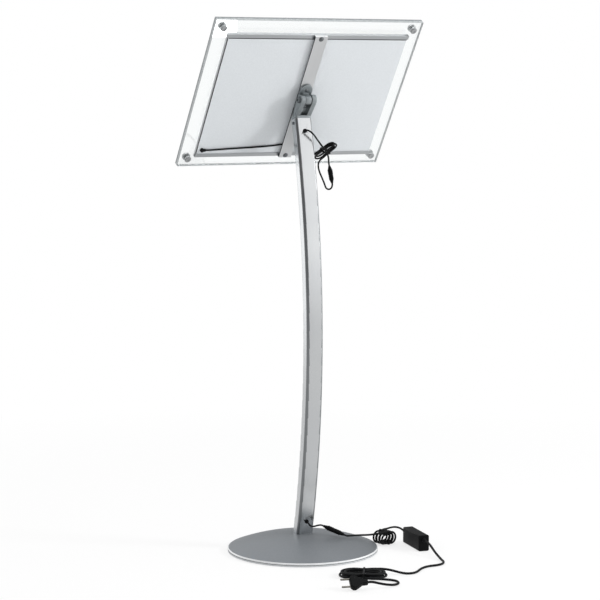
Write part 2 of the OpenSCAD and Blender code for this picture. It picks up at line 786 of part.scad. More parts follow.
module light_guide() {
    color("#e8f0f2", 0.6) on_panel() slab(stack_w, guide_h, stack[0], stack[0] + stack[1]);
}

module diffuser() {
    color("#fafafa") on_panel() slab(stack_w, guide_h, 0, stack[0]);
}

module led_strip(side) {
    chips = 36;
    edge = side * (unit_h / 2 - wall_t);
    mid = stack[0] + stack[1] / 2;
    color("#e9e5c8") on_panel() {
        slab(stack_w, strip_t, 0, plate_y, edge - side * strip_t / 2);
        for (i = [0:chips - 1])
            translate([(i - (chips - 1) / 2) * stack_w / chips, 0, 0])
                slab(3, 1.2, mid - chip_half, mid + chip_half, edge - side * (strip_t + 0.4));
    }
}

module led_strips() {
    led_strip(1);
    led_strip(-1);
}

module sheet(from, to) {
    difference() {
        slab(panel_w, panel_h, from, to);
        at_corners() peg(0, 0, corner_r + 0.3, from - 1, to + 1);
    }
}

module back_sheet() {
    color("#dfe9ec", 0.4) on_panel() sheet(-back_sheet_t, 0);
}

module front_cover() {
    color("#e6eef0", 0.4) on_panel() sheet(-back_sheet_t - front_cover_t, -back_sheet_t);
}

module corner_nuts() {
    color("#9da1a4") on_panel() at_corners() difference() {
        union() {
            peg(0, 0, corner_nut_r, 0, corner_nut_h - nut_step);
            peg(0, 0, corner_nut_r - nut_step, 0, corner_nut_h);
        }
        peg(0, 0, corner_r + thread_gap, -1, corner_nut_h + 1);
    }
}

module corner_cap(x, z) {
    face = -back_sheet_t - front_cover_t - 0.1;
    color("#b8bcbf") on_panel() translate([x, 0, z]) difference() {
        union() {
            peg(0, 0, cap_r, face - cap_h + 1.5, face);
            peg(0, 0, cap_r - 1.5, face - cap_h, face - cap_h + 1.5);
            peg(0, 0, corner_r, face - 1, corner_nut_h - 1);
        }
        for (i = [0:11]) rotate([0, 30 * i, 0]) peg(cap_r + 0.5, 0, 0.9, face - cap_h - 1, face - 1.2);
    }
}

module corner_cap_1() {
    corner_cap(-corner_x, -corner_z);
}

module corner_cap_2() {
    corner_cap(corner_x, -corner_z);
}

module corner_cap_3() {
    corner_cap(-corner_x, corner_z);
}

module corner_cap_4() {
    corner_cap(corner_x, corner_z);
}

// A boot that turns the lead flat along the plate
module panel_grommet() {
    high = plate_back + lead_d + 0.2 + boot_wall;
    wide = lead_d + 2 * boot_wall;
    color("#17181a") on_panel() {
        peg(outlet_x, outlet_z, outlet_r, plate_back, high);
        peg(outlet_x, outlet_z, outlet_stem_r - thread_gap, plate_y, plate_back + 1);
        translate([outlet_x - boot_l, plate_back, outlet_z - wide / 2])
            cube([boot_l, high - plate_back, wide]);
    }
}

// Leads on the panel and beside the post
module panel_lead() {
    lead([for (p = panel_route) panel_point(p)], lead_d);
}

module panel_lead_slack() {
    lead(slack_route, lead_d);
}

module upper_hank() {
    hank(upper_path, lead_d);
}

module upper_tie() {
    tie(upper_h);
}

module hank_lead() {
    lead(hank_route, lead_d);
}

module link_plug() {
    color("#1b1c1e") connector(link_mid, link_bottom, 4.9, lead_d);
}

module link_socket() {
    color("#232427") connector(link_mid, link_top, 5.2, lead_d);
}

module post_lead_upper() {
    lead(post_upper_route, lead_d);
}

module post_lead_inner() {
    lead(inner_route, lead_d);
}

module post_lead_lower() {
    lead(post_lower_route, lead_d);
}

module coupling_socket() {
    color("#232427") connector(coupling_mid, coupling_a, 5.2, lead_d);
}

module coupling_plug() {
    color("#1b1c1e") connector(coupling_mid, coupling_b, 5, dc_d);
}

// Leads, adapter and plug on the floor
module dc_lead_near() {
    lead(dc_near_route, dc_d);
}

module dc_bundle() {
    hank(dc_path, dc_d);
}

module dc_tie() {
    tie(dc_h);
}

module dc_lead_far() {
    lead(dc_far_route, dc_d);
}

module on_adapter() {
    translate([adapter_c.x, adapter_c.y, 0]) rotate([0, 0, adapter_a]) children();
}

module adapter_relief(side, h, d) {
    on_adapter() translate([0, side * adapter_l / 2, h]) rotate([-90 * side, 0, 0]) {
        cylinder(h = 4, r = d / 2 + 2.4);
        for (i = [0:2]) translate([0, 0, 4 + i * (relief_l - 4) / 3])
            cylinder(h = (relief_l - 4) / 3, r1 = d / 2 + 2 - 0.4 * i, r2 = d / 2 + 1.4 - 0.4 * i);
    }
}

module adapter_half(from, to) {
    on_adapter() intersection() {
        rotate([90, 0, 0]) linear_extrude(adapter_l, center = true)
            translate([0, adapter_h / 2]) rounded_rect(adapter_w, adapter_h, 3.5);
        translate([-adapter_w, -adapter_l, from]) cube([2 * adapter_w, 2 * adapter_l, to - from]);
    }
}

module adapter_top() {
    color("#202124") adapter_half(adapter_h / 2 + 0.1, adapter_h);
}

module adapter_bottom() {
    color("#1c1d1f") adapter_half(0, adapter_h / 2 + 0.1);
}

module adapter_relief_dc() {
    color("#151618") adapter_relief(-1, dc_out_h, dc_d);
}

module adapter_relief_mains() {
    color("#151618") adapter_relief(1, mains_out_h, mains_d);
}

module mains_lead_near() {
    lead(mains_near_route, mains_d);
}

module mains_hank() {
    hank(mains_path, mains_d);
}

module mains_tie() {
    tie(mains_h);
}

module mains_lead_far() {
    lead(mains_far_route, mains_d);
}

module on_plug() {
    translate(plug_face) rotate([0, 0, plug_turn]) rotate([plug_roll, 0, 0]) children();
}

module plug_body() {
    back_w = mains_d + 5;
    color("#1d1e20") on_plug() intersection() {
        linear_extrude(plug_t, center = true) polygon([
            [0, -plug_w / 2 + 5], [-5, -plug_w / 2], [-12, -plug_w / 2], [-26, -back_w / 2],
            [-plug_l, -back_w / 2], [-plug_l, back_w / 2], [-26, back_w / 2], [-12, plug_w / 2],
            [-5, plug_w / 2], [0, plug_w / 2 - 5]]);
        rotate([90, 0, 0]) linear_extrude(plug_w + 2, center = true) polygon([
            [0, -plug_t / 2 + 1], [-2, -plug_t / 2], [-22, -plug_t / 2], [-plug_l, -back_w / 2 + 0.4],
            [-plug_l, back_w / 2 - 0.4], [-22, plug_t / 2], [-2, plug_t / 2], [0, plug_t / 2 - 1]]);
    }
}

module plug_pins() {
    color("#c8c4b4") on_plug() for (s = [-1, 1]) translate([0, s * 9.3, 0]) {
        bar_x(2, 0, pin_l - 1.5);
        translate([pin_l - 1.5, 0, 0]) rotate([0, 90, 0]) cylinder(h = 1.5, r1 = 2, r2 = 1);
    }
}

base_cover();
base_weight();
base_feet();
foot_plug();
foot_bolts();
post();
post_grommet_upper();
post_grommet_lower();
post_head();
head_screws();
tilt_bolt();
tilt_nut();
friction_washers();
tilt_knuckle();
knuckle_screws();
strap();
strap_screws();
rail_top();
rail_bottom();
side_rails();
plate_gasket();
back_plate();
reflector();
light_guide();
diffuser();
led_strips();
back_sheet();
front_cover();
corner_nuts();
corner_cap_1();
corner_cap_2();
corner_cap_3();
corner_cap_4();
panel_grommet();
panel_lead();
panel_lead_slack();
upper_hank();
upper_tie();
hank_lead();
link_plug();
link_socket();
post_lead_upper();
post_lead_inner();
post_lead_lower();
coupling_socket();
coupling_plug();
dc_lead_near();
dc_bundle();
dc_tie();
dc_lead_far();
adapter_relief_dc();
adapter_top();
adapter_bottom();
adapter_relief_mains();
mains_lead_near();
mains_hank();
mains_tie();
mains_lead_far();
plug_body();
plug_pins();
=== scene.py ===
"""Lit menu stand, seen from behind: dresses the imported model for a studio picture."""
import math

import bmesh
import bpy
from mathutils import Euler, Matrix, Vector


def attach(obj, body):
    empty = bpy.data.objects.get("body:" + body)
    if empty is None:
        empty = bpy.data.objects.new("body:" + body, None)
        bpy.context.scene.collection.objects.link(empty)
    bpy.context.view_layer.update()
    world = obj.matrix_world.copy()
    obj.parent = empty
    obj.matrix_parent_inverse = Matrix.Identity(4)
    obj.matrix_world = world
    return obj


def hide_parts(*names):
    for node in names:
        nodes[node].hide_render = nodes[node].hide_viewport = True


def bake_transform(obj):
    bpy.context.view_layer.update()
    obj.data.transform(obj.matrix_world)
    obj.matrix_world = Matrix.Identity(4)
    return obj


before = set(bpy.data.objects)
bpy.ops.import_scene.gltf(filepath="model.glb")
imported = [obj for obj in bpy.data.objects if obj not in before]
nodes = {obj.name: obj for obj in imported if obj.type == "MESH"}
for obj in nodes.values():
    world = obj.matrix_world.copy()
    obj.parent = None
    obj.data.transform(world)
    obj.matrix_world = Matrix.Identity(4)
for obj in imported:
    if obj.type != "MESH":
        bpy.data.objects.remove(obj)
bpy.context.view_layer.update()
scene = bpy.context.scene
scene.view_settings.view_transform = "Standard"
MM = 0.001

# Sizes of the stand in millimetres, as the part's source has them
TILT = math.radians(34)
POST_R, POST_DEPTH = 2050.0, 25.0
POST_MID_Z, SEAT_Z, POST_TOP_Z = 483.0, 39.0, 962.0
POST_AXIS_Y = -math.sqrt(POST_R ** 2 - (POST_MID_Z - SEAT_Z) ** 2)
TOP_ANGLE = math.asin((POST_TOP_Z - POST_MID_Z) / POST_R)
UPPER_HOLE_Z, LOWER_HOLE_Z, HOLE_DEPTH = 937.0, 68.0, 2.4
# The tilt axis: from the post's top end, and in the panel's own frame
AXIS_BEHIND, AXIS_ABOVE = 36.4, 35.0
PIVOT_BACK, PIVOT_UP = 31.4, 7.5
PIVOT_Y = (POST_AXIS_Y + (POST_R + AXIS_BEHIND) * math.cos(TOP_ANGLE)
           - AXIS_ABOVE * math.sin(TOP_ANGLE))
PIVOT_Z = POST_TOP_Z + AXIS_BEHIND * math.sin(TOP_ANGLE) + AXIS_ABOVE * math.cos(TOP_ANGLE)
PLATE_BACK = 7.4
# The leads and the pieces on them
LEAD_D, DC_D, MAINS_D = 3.8, 4.4, 5.2
LEAD_GAP, HANK_GAP, TIE_T = 0.2, 0.8, 1.2
LINK_L, COUPLING_L, ADAPTER_L, RELIEF_L, PLUG_L = 38.0, 52.0, 94.0, 12.0, 38.0

# How a lead is drawn: the sides of its tube, the millimetres between points, rounds of smoothing
TUBE_SIDES, POINT_GAP, SMOOTHING_ROUNDS = 12, 2.0, 3

# In metres: the radius where the base's rim starts, the heights of the groove in it, the room
# for a poster between the sheets, and how close two corners are when they count as one
RIM_R, GROOVE_TOP_Z, GROOVE_FOOT_Z = 0.1655, 0.0047, 0.0033
POSTER_ROOM = 0.0001
WELD_GAP = 0.00001
# Edges sharper than this are rounded
SHARP = math.radians(35)
# Cosines: a normal closer than this to a direction makes a sheet's large face, a flat of the
# post, or a side of the strap
SHEET_FACE, POST_FLAT, STRAP_SIDE = 0.7, 0.97, 0.9

# The dark cards that the metal mirrors: the way to each from the stand
CARD_LEFT, CARD_RIGHT = (0.883, 0.469, 0.0), (-0.8, -0.6, 0.0)
# The white room's strength as it lights matte surfaces
ROOM_LIGHT = 0.7
FLOOR_HALF, FLOOR_Z = 30.0, -0.0005


def place_camera():
    """Behind the stand and a little to one side, looking slightly down, with a long lens."""
    data = bpy.data.cameras.new("studio_camera")
    data.sensor_width = 36.0
    data.lens = 121.99
    data.clip_end = 60.0
    camera = bpy.data.objects.new("studio_camera", data)
    camera.location = (2.05793, 3.97329, 1.04915)
    camera.rotation_euler = (math.radians(83.805), 0.0, math.radians(152.698))
    scene.collection.objects.link(camera)
    scene.camera = camera


def panel_point(u, n, v):
    """A point of the panel's own frame, in the stand's frame."""
    return Vector((
        u,
        PIVOT_Y + (n - PIVOT_BACK) * math.cos(TILT) + (v - PIVOT_UP) * math.sin(TILT),
        PIVOT_Z - (n - PIVOT_BACK) * math.sin(TILT) + (v - PIVOT_UP) * math.cos(TILT)))


def post_point(z, off):
    """A point in the post at a height, so far behind its middle line."""
    return Vector((0, POST_AXIS_Y + math.sqrt((POST_R + off) ** 2 - (z - POST_MID_Z) ** 2), z))


def post_back(z):
    """A point on the post's back face and the direction square to it."""
    angle = math.asin((z - POST_MID_Z) / (POST_R + POST_DEPTH / 2))
    return post_point(z, POST_DEPTH / 2), Vector((0, math.cos(angle), math.sin(angle)))


class Hank:
    """A lead folded into flat loops, layer on layer, and drawn in at the waist by a tie.

    d is the lead's diameter, run the straight stretch of a loop, r_in the innermost bend's radius,
    waist the share that the tie draws in, and half the part of a loop that is left over. side and
    rise, 1 or -1, say which way it winds and stacks.
    """

    # Steps of a loop: 3 for half a straight run, 6 of 30 degrees for a bend
    STEPS = 24

    def __init__(self, d, run, r_in, waist, loops, layers, half, side, rise, place, angles):
        self.d, self.run, self.r_in, self.waist = d, run, r_in, waist
        self.loops, self.layers, self.half = loops, layers, half
        self.side, self.rise = side, rise
        self.step = (d + HANK_GAP) / (1 - waist)
        self.place = Vector(place)
        self.turn = Euler([math.radians(a) for a in angles], "XYZ").to_matrix()

    def point(self, turns):
        """The lead's place after so many turns. It winds inward and outward, layer by layer."""
        # A whole number of turns starts the next layer, also when it is rounded down a little
        layer = min(max(math.floor(turns / self.loops + 0.0001), 0), self.layers - 1)
        along = turns - layer * self.loops
        r = self.r_in + self.step * (self.loops - along if layer % 2 == 0 else along)
        f = (turns - math.floor(turns)) * self.STEPS
        half_run = self.run / 2
        if f < 3 or f >= 21:
            x, y = half_run * (f if f < 3 else f - self.STEPS) / 3, -r
        elif f < 9:
            bend = math.radians((f - 3) * 30)
            x, y = half_run + r * math.sin(bend), -r * math.cos(bend)
        elif f < 15:
            x, y = half_run * (12 - f) / 3, r
        else:
            bend = math.radians((f - 15) * 30)
            x, y = -half_run - r * math.sin(bend), r * math.cos(bend)
        if abs(x) < half_run:
            y *= 1 - self.waist * math.cos(math.pi * x / self.run) ** 2
        # It climbs to the next layer in a quarter of a turn
        level = 0.0
        for k in range(1, self.layers):
            t = min(max((turns - k * self.loops) * 4 + 0.5, 0), 1)
            level += t * t * (3 - 2 * t)
        high = self.rise * level * (self.d + HANK_GAP)
        return self.turn @ Vector((x, y * self.side, high)) + self.place

    def path(self):
        """The whole hank, with half a run and a lead's width more at each end."""
        last = round((self.loops * self.layers + self.half) * self.STEPS) + 3
        loops = [self.point(i / self.STEPS) for i in range(-3, last + 1)]
        on = self.turn @ Vector((self.d, 0, 0))
        return [loops[0] - on] + loops + [loops[-1] + (-on if self.half else on)]


upper_hank = Hank(LEAD_D, run=32, r_in=2 * LEAD_D, waist=0.1, loops=1, layers=2, half=0.5,
                  side=1, rise=1, place=(-58, -8, 894), angles=(190, -34, 180))
dc_hank = Hank(DC_D, run=18, r_in=2 * DC_D, waist=0.08, loops=1, layers=6, half=0,
               side=-1, rise=-1, place=(-194.5, 46, 0), angles=(90, 0, 192.3))
dc_hank.place.z = 2.5 * DC_D + dc_hank.step / 2 + TIE_T
mains_hank = Hank(MAINS_D, run=40, r_in=3 * MAINS_D, waist=0.14, loops=2, layers=2, half=0.5,
                  side=1, rise=-1, place=(-1, 280, TIE_T + 1.5 * MAINS_D + HANK_GAP),
                  angles=(0, 0, -30.7))


def heading(path, i, j):
    """The direction of a path from one of its points to another."""
    return (path[j] - path[i]).normalized()


def vectors(*points):
    """Points given as numbers, as vectors."""
    return [Vector(p) for p in points]


def lead_routes():
    """Every lead's route in millimetres, as the part's source has it.

    They go from the panel to the hank, down the post, to the adapter and to the plug.
    """
    upper, dc, mains = upper_hank.path(), dc_hank.path(), mains_hank.path()
    n = PLATE_BACK + LEAD_D / 2 + LEAD_GAP
    panel = [panel_point(*p) for p in (
        (198, n, -139.5), (190, n, -139.5), (170, n, -138.5), (139, n, -136.5), (90, n, -134),
        (42, n, -130.5), (14, n, -127), (-4, n, -125), (-12, n, -124.5), (-20, n, -124.5))]
    slack = [panel[-1], panel[-1] + Vector((-8, 0, 0))] + vectors(
        (-36, -71.5, 903.5), (-40, -66, 893), (-39, -58, 879), (-34, -49, 866),
        (-26, -39.5, 856), (-18, -31, 852.5), (-14, -25.5, 857), (-15, -22.3, 865),
        (-22, -21.3, 872.5)) + [
        upper[0] + 6 * heading(upper, 1, 0), upper[0]]

    # The plug and socket that hang beside the post
    link_way = Vector((7, 1, 34)).normalized()
    link_bottom = Vector((-72, 2, 821))
    link_top = link_bottom + LINK_L * link_way
    hank = upper + [upper[-1] + 5 * heading(upper, -2, -1)] + vectors(
        (-37.6, 6.2, 869.8), (-36.2, 4.3, 863.5), (-37.8, 1.8, 855.5), (-41.5, -0.5, 846.5),
        (-46.2, -1.8, 837.5), (-51, -2, 828), (-54.9, -1.4, 818.5), (-57.2, -0.8, 811.4),
        (-60, -0.2, 807.8), (-64.4, 0.5, 806.4), (-68.8, 1.1, 807.7), (-71.4, 1.5, 811)) + [
        link_bottom - 4 * link_way, link_bottom]

    # In at the post's upper hole, out at the lower one, and to the coupling behind the foot
    coupling_way = Vector((-46, 9.6, -22.5)).normalized()
    coupling_near = Vector((-29, 45, 60))
    coupling_far = coupling_near + COUPLING_L * coupling_way
    hole, out = post_back(UPPER_HOLE_Z)
    foot, foot_out = post_back(LOWER_HOLE_Z)
    inside = [post_point(UPPER_HOLE_Z - 30 - 89 * i, 3 if i < 5 else -3) for i in range(10)]
    post = [link_top, link_top + 8 * link_way] + vectors(
        (-60.5, 7, 875), (-54, 13.5, 885.5), (-43.5, 20, 896), (-32, 24, 907),
        (-21.5, 26.5, 918.5), (-12.5, 27.5, 929), (-5, 25.5, 936)) + [
        hole + 9 * out, hole - HOLE_DEPTH * out, hole - (HOLE_DEPTH + 5) * out] + inside + [
        foot - (HOLE_DEPTH + 5) * foot_out, foot - HOLE_DEPTH * foot_out,
        foot + 6 * foot_out] + vectors(
        (-2.5, 31.5, 60.5), (-8, 37.5, 59.5), (-15, 41.5, 62)) + [
        coupling_near - 6 * coupling_way, coupling_near]

    # Through the bundle to the adapter's near end
    turn = math.radians(-8.6)
    adapter_way = Vector((-math.sin(turn), math.cos(turn), 0))
    adapter_half = ADAPTER_L / 2 + RELIEF_L
    dc_in = Vector((-241, 90, 18)) - adapter_half * adapter_way
    mains_in = Vector((-241, 90, 25)) + adapter_half * adapter_way
    dc_lead = [coupling_far, coupling_far + 6 * coupling_way] + vectors(
        (-93, 53, 33), (-108, 47, 31), (-126, 43.5, 29), (-146, 45.5, 28)) + [
        dc[0] + 10 * heading(dc, 1, 0)] + dc + [dc[-1] + 6 * heading(dc, -2, -1)] + vectors(
        (-215, 14.2, 30.6), (-225, 11.9, 30.8), (-234, 10.6, 30), (-242, 10.8, 27.8),
        (-248.3, 13.3, 24.5), (-251.6, 18.4, 20.2)) + [dc_in - 7 * adapter_way, dc_in]

    # From its far end along the floor, through the mains hank to the plug
    z = MAINS_D / 2
    plug_turn = math.radians(-16)
    plug_way = Vector((math.cos(plug_turn), math.sin(plug_turn), 0))
    plug_back = Vector((80.6, 367.5, 15)) - PLUG_L * plug_way
    mains_lead = [mains_in, mains_in + 10 * adapter_way] + vectors(
        (-228.5, 177, 20), (-227, 196, 11.5), (-225, 216, 5.2), (-220.5, 237, z),
        (-214.5, 254, z), (-202.5, 267.5, z), (-186, 272.5, z), (-166.5, 272.5, z),
        (-148, 279, z), (-132, 291, z), (-119, 303, z), (-106, 309.5, z), (-93, 308.5, z),
        (-82, 301.5, 3.6), (-72, 292, 6), (-62, 283, 8.5)) + [
        mains[0] + 14 * heading(mains, 1, 0)] + mains + [
        mains[-1] + 9 * heading(mains, -2, -1)] + vectors(
        (-23.5, 333, 3), (-33, 341, z), (-38, 354, z), (-35, 368, z), (-25, 379, 3),
        (-10, 384.5, 4.5), (6, 385.5, 7.5), (20, 383.8, 11)) + [
        plug_back - 9 * plug_way, plug_back]
    return {"panel": panel, "slack": slack, "hank": hank, "post": post, "dc": dc_lead,
            "mains": mains_lead}


def smooth_path(route):
    """A smooth line through a route's points, in metres, with points evenly close together."""
    ends = [2 * route[0] - route[1]] + list(route) + [2 * route[-1] - route[-2]]
    line = []
    for a, b, c, d in zip(ends, ends[1:], ends[2:], ends[3:]):
        k1, k2, k3 = ((q - p).length ** 0.5 for p, q in ((a, b), (b, c), (c, d)))
        m1 = (b - a) / k1 - (c - a) / (k1 + k2) + (c - b) / k2
        m2 = (c - b) / k2 - (d - b) / (k2 + k3) + (d - c) / k3
        steps = max(1, round((c - b).length / POINT_GAP))
        for i in range(steps):
            t = i / steps
            line.append(b * (1 - t) ** 2 * (1 + 2 * t) + c * t * t * (3 - 2 * t)
                        + k2 * (m1 * t * (1 - t) ** 2 - m2 * t * t * (1 - t)))
    line.append(route[-1])
    for _ in range(SMOOTHING_ROUNDS):
        line[2:-2] = [(a + 2 * b + c) / 4 for a, b, c in zip(line[1:], line[2:-2], line[3:])]
    return [p * MM for p in line]


def lead_tube(name, path, diameter, material):
    """A round sheath swept along a path, closed at its ends, with its millimetres along U."""
    mesh = bmesh.new()
    unrolled = mesh.loops.layers.uv.new("UVMap")
    angles = [2 * math.pi * k / TUBE_SIDES for k in range(TUBE_SIDES)]
    rings, lengths, side, travelled = [], [], None, 0.0
    for i, centre in enumerate(path):
        before, after = path[max(i - 1, 0)], path[min(i + 1, len(path) - 1)]
        along = (after - before).normalized()
        if side is None:
            side = along.orthogonal()
        side = (side - along * side.dot(along)).normalized()
        up = along.cross(side)
        travelled += (centre - before).length
        lengths.append(travelled)
        rings.append([
            mesh.verts.new(centre + diameter / 2 * (math.cos(a) * side + math.sin(a) * up))
            for a in angles])
    for i in range(len(rings) - 1):
        for k in range(TUBE_SIDES):
            n = (k + 1) % TUBE_SIDES
            face = mesh.faces.new((rings[i][k], rings[i][n], rings[i + 1][n], rings[i + 1][k]))
            face.smooth = True
            corners = ((i, k), (i, k + 1), (i + 1, k + 1), (i + 1, k))
            for loop, (u, v) in zip(face.loops, corners):
                loop[unrolled].uv = (lengths[u] / MM, v / TUBE_SIDES)
    mesh.faces.new(list(reversed(rings[0])))
    mesh.faces.new(rings[-1])
    data = bpy.data.meshes.new(name)
    mesh.to_mesh(data)
    mesh.free()
    data.materials.append(material)
    tube = bpy.data.objects.new(name, data)
    scene.collection.objects.link(tube)
    return tube


def lay_leads(sheath):
    """Each lead is one tube that stands for its solids in the model."""
    # Name: diameter, solids, far end, stiffness, how it lies, pieces on it
    plan = {
        "panel": (LEAD_D, ["panel_lead"], "object", "limp", "loose", []),
        "slack": (LEAD_D, ["panel_lead_slack"], "object", "limp", "hanging", []),
        "hank": (LEAD_D, ["upper_hank", "hank_lead"], "connector", "limp", "hanging",
                 ["upper_tie", "link_plug"]),
        "post": (LEAD_D, ["post_lead_upper", "post_lead_inner", "post_lead_lower"],
                 "connector", "limp", "hanging", ["link_socket", "coupling_socket"]),
        "dc": (DC_D, ["dc_lead_near", "dc_bundle", "dc_lead_far"], "fitting", "limp", "loose",
               ["coupling_plug", "dc_tie", "adapter_relief_dc", "adapter_top",
                "adapter_bottom", "adapter_relief_mains"]),
        "mains": (MAINS_D, ["mains_lead_near", "mains_hank", "mains_lead_far"],
                  "plug", "medium", "loose", ["mains_tie", "plug_body", "plug_pins"])}
    for name, route in lead_routes().items():
        diameter, solids, far_end, stiffness, lay, on_it = plan[name]
        path = smooth_path(route)
        tube = lead_tube(f"{name}_lead_sheath", path, diameter * MM, sheath)
        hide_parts(*solids)
        if name == "slack":
            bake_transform(tube)
        else:
            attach(tube, "panel" if name == "panel" else "stand")


def linear(colour):
    """An sRGB hex colour in the linear values that shaders take."""
    parts = [int(colour[i:i + 2], 16) / 255 for i in (1, 3, 5)]
    return [c / 12.92 if c <= 0.04045 else ((c + 0.055) / 1.055) ** 2.4 for c in parts] + [1.0]


def add(tree, kind, links, **settings):
    """Adds a shader node. A link's value is a number, a colour, or the socket that feeds it."""
    node = tree.nodes.new(kind)
    for name, value in settings.items():
        setattr(node, name, value)
    for name, value in links.items():
        if isinstance(value, bpy.types.NodeSocket):
            tree.links.new(value, node.inputs[name])
        else:
            node.inputs[name].default_value = value
    return node


def blank(name):
    """A new material, its empty tree, and the places on the object, which is in metres."""
    material = bpy.data.materials.new(name)
    material.use_nodes = True
    tree = material.node_tree
    tree.nodes.clear()
    return material, tree, add(tree, "ShaderNodeTexCoord", {}).outputs


def two_tone(tree, factor, low, high, start=0.3, end=0.7):
    """A colour that passes from one hex value to another as a pattern rises."""
    ramp = add(tree, "ShaderNodeValToRGB", {"Fac": factor})
    for stop, place, colour in zip(ramp.color_ramp.elements, (start, end), (low, high)):
        stop.position = place
        stop.color = linear(colour)
    return ramp.outputs["Color"]


def close(tree, links):
    """Ends a material in one surface shader."""
    shader = add(tree, "ShaderNodeBsdfPrincipled", links)
    add(tree, "ShaderNodeOutputMaterial", {"Surface": shader.outputs["BSDF"]})


def drawn_metal(name, low, high, rough, grain_mm, stretch):
    """Drawn, rolled or turned metal, anodised or satin: soft grey, its reflections blurred by
    fine lines that run the way in which stretch is small."""
    material, tree, place = blank(name)
    scaled = add(tree, "ShaderNodeMapping", {"Vector": place["Object"], "Scale": stretch})
    lines = add(tree, "ShaderNodeTexNoise", {
        "Vector": scaled.outputs["Vector"], "Scale": 1 / (grain_mm * MM), "Detail": 3.0,
        "Roughness": 0.6})
    cloud = add(tree, "ShaderNodeTexNoise", {
        "Vector": place["Object"], "Scale": 1 / (120 * MM), "Detail": 2.0})
    bump = add(tree, "ShaderNodeBump", {
        "Height": lines.outputs["Fac"], "Strength": 0.06, "Distance": 0.0002})
    rough_map = add(tree, "ShaderNodeMapRange", {
        "Value": lines.outputs["Fac"], "To Min": rough - 0.05, "To Max": rough + 0.06})
    close(tree, {
        "Base Color": two_tone(tree, cloud.outputs["Fac"], low, high), "Metallic": 1.0,
        "Roughness": rough_map.outputs["Result"], "Normal": bump.outputs["Normal"]})
    return material


def cast_alloy(name, low, high, rough):
    """Die-cast alloy, tumbled: a duller metal with a fine pebbled skin."""
    material, tree, place = blank(name)
    # Casting grain of 0.5 mm, drawn at 1.2 mm so that it shows
    grain = add(tree, "ShaderNodeTexNoise", {
        "Vector": place["Object"], "Scale": 1 / (1.2 * MM), "Detail": 3.0})
    cloud = add(tree, "ShaderNodeTexNoise", {
        "Vector": place["Object"], "Scale": 1 / (25 * MM), "Detail": 3.0})
    bump = add(tree, "ShaderNodeBump", {
        "Height": grain.outputs["Fac"], "Strength": 0.15, "Distance": 0.0002})
    close(tree, {
        "Base Color": two_tone(tree, cloud.outputs["Fac"], low, high), "Metallic": 0.85,
        "Roughness": rough, "Normal": bump.outputs["Normal"]})
    return material


def metallic_paint(name, low, high, metallic, rough, fleck_mm=1.2):
    """Sprayed metallic paint: an even satin coat with fine flecks and a slight orange peel.

    Real flecks are under 0.1 mm. They are drawn coarser so that they show.
    """
    material, tree, place = blank(name)
    fleck = add(tree, "ShaderNodeTexVoronoi", {
        "Vector": place["Object"], "Scale": 1 / (fleck_mm * MM)})
    peel = add(tree, "ShaderNodeTexNoise", {
        "Vector": place["Object"], "Scale": 1 / (4 * MM), "Detail": 2.0})
    bump = add(tree, "ShaderNodeBump", {
        "Height": peel.outputs["Fac"], "Strength": 0.04, "Distance": 0.0003})
    close(tree, {
        "Base Color": two_tone(tree, fleck.outputs["Color"], low, high, start=0.0, end=1.0),
        "Metallic": metallic, "Roughness": rough, "Normal": bump.outputs["Normal"]})
    return material


def moulded_skin(name, low, high, rough, grain_mm, grain_depth, shine):
    """Moulded plastic or rubber, or thick paint on iron: dark, with the fine grain of its mould."""
    material, tree, place = blank(name)
    grain = add(tree, "ShaderNodeTexNoise", {
        "Vector": place["Object"], "Scale": 1 / (grain_mm * MM), "Detail": 4.0})
    wear = add(tree, "ShaderNodeTexNoise", {
        "Vector": place["Object"], "Scale": 1 / (30 * MM), "Detail": 3.0})
    bump = add(tree, "ShaderNodeBump", {
        "Height": grain.outputs["Fac"], "Strength": grain_depth, "Distance": 0.0002})
    rough_map = add(tree, "ShaderNodeMapRange", {
        "Value": wear.outputs["Fac"], "To Min": rough - 0.06, "To Max": rough + 0.08})
    close(tree, {
        "Base Color": two_tone(tree, wear.outputs["Fac"], low, high), "IOR": 1.5,
        "Specular IOR Level": shine, "Roughness": rough_map.outputs["Result"],
        "Normal": bump.outputs["Normal"]})
    return material


def plated_metal(name, low, high, rough):
    """Zinc on steel or nickel on brass: a bright, slightly cloudy metal."""
    material, tree, place = blank(name)
    spangle = add(tree, "ShaderNodeTexNoise", {
        "Vector": place["Object"], "Scale": 1 / (3 * MM), "Detail": 4.0})
    rough_map = add(tree, "ShaderNodeMapRange", {
        "Value": spangle.outputs["Fac"], "To Min": rough - 0.06, "To Max": rough + 0.08})
    close(tree, {
        "Base Color": two_tone(tree, spangle.outputs["Fac"], low, high), "Metallic": 1.0,
        "Roughness": rough_map.outputs["Result"]})
    return material


def cast_acrylic():
    """Cast acrylic sheet: clear across its polished face, with a faint haze from handling."""
    material, tree, place = blank("cast_acrylic_clear")
    haze = add(tree, "ShaderNodeTexNoise", {"Vector": place["Object"], "Scale": 1 / (80 * MM)})
    rough_map = add(tree, "ShaderNodeMapRange", {
        "Value": haze.outputs["Fac"], "To Min": 0.0, "To Max": 0.006})
    close(tree, {
        "Base Color": linear("#fdfefe"), "Roughness": rough_map.outputs["Result"], "IOR": 1.49,
        "Transmission Weight": 1.0})
    return material


def sawn_edge(name, low, high):
    """Sawn acrylic edge: frosted grey, with the blade's uneven marks about 3 mm apart."""
    material, tree, place = blank(name)
    marks = add(tree, "ShaderNodeTexNoise", {
        "Vector": place["Object"], "Scale": 1 / (3 * MM), "Detail": 3.0})
    close(tree, {
        "Base Color": two_tone(tree, marks.outputs["Fac"], low, high), "Roughness": 0.35,
        "IOR": 1.49})
    return material


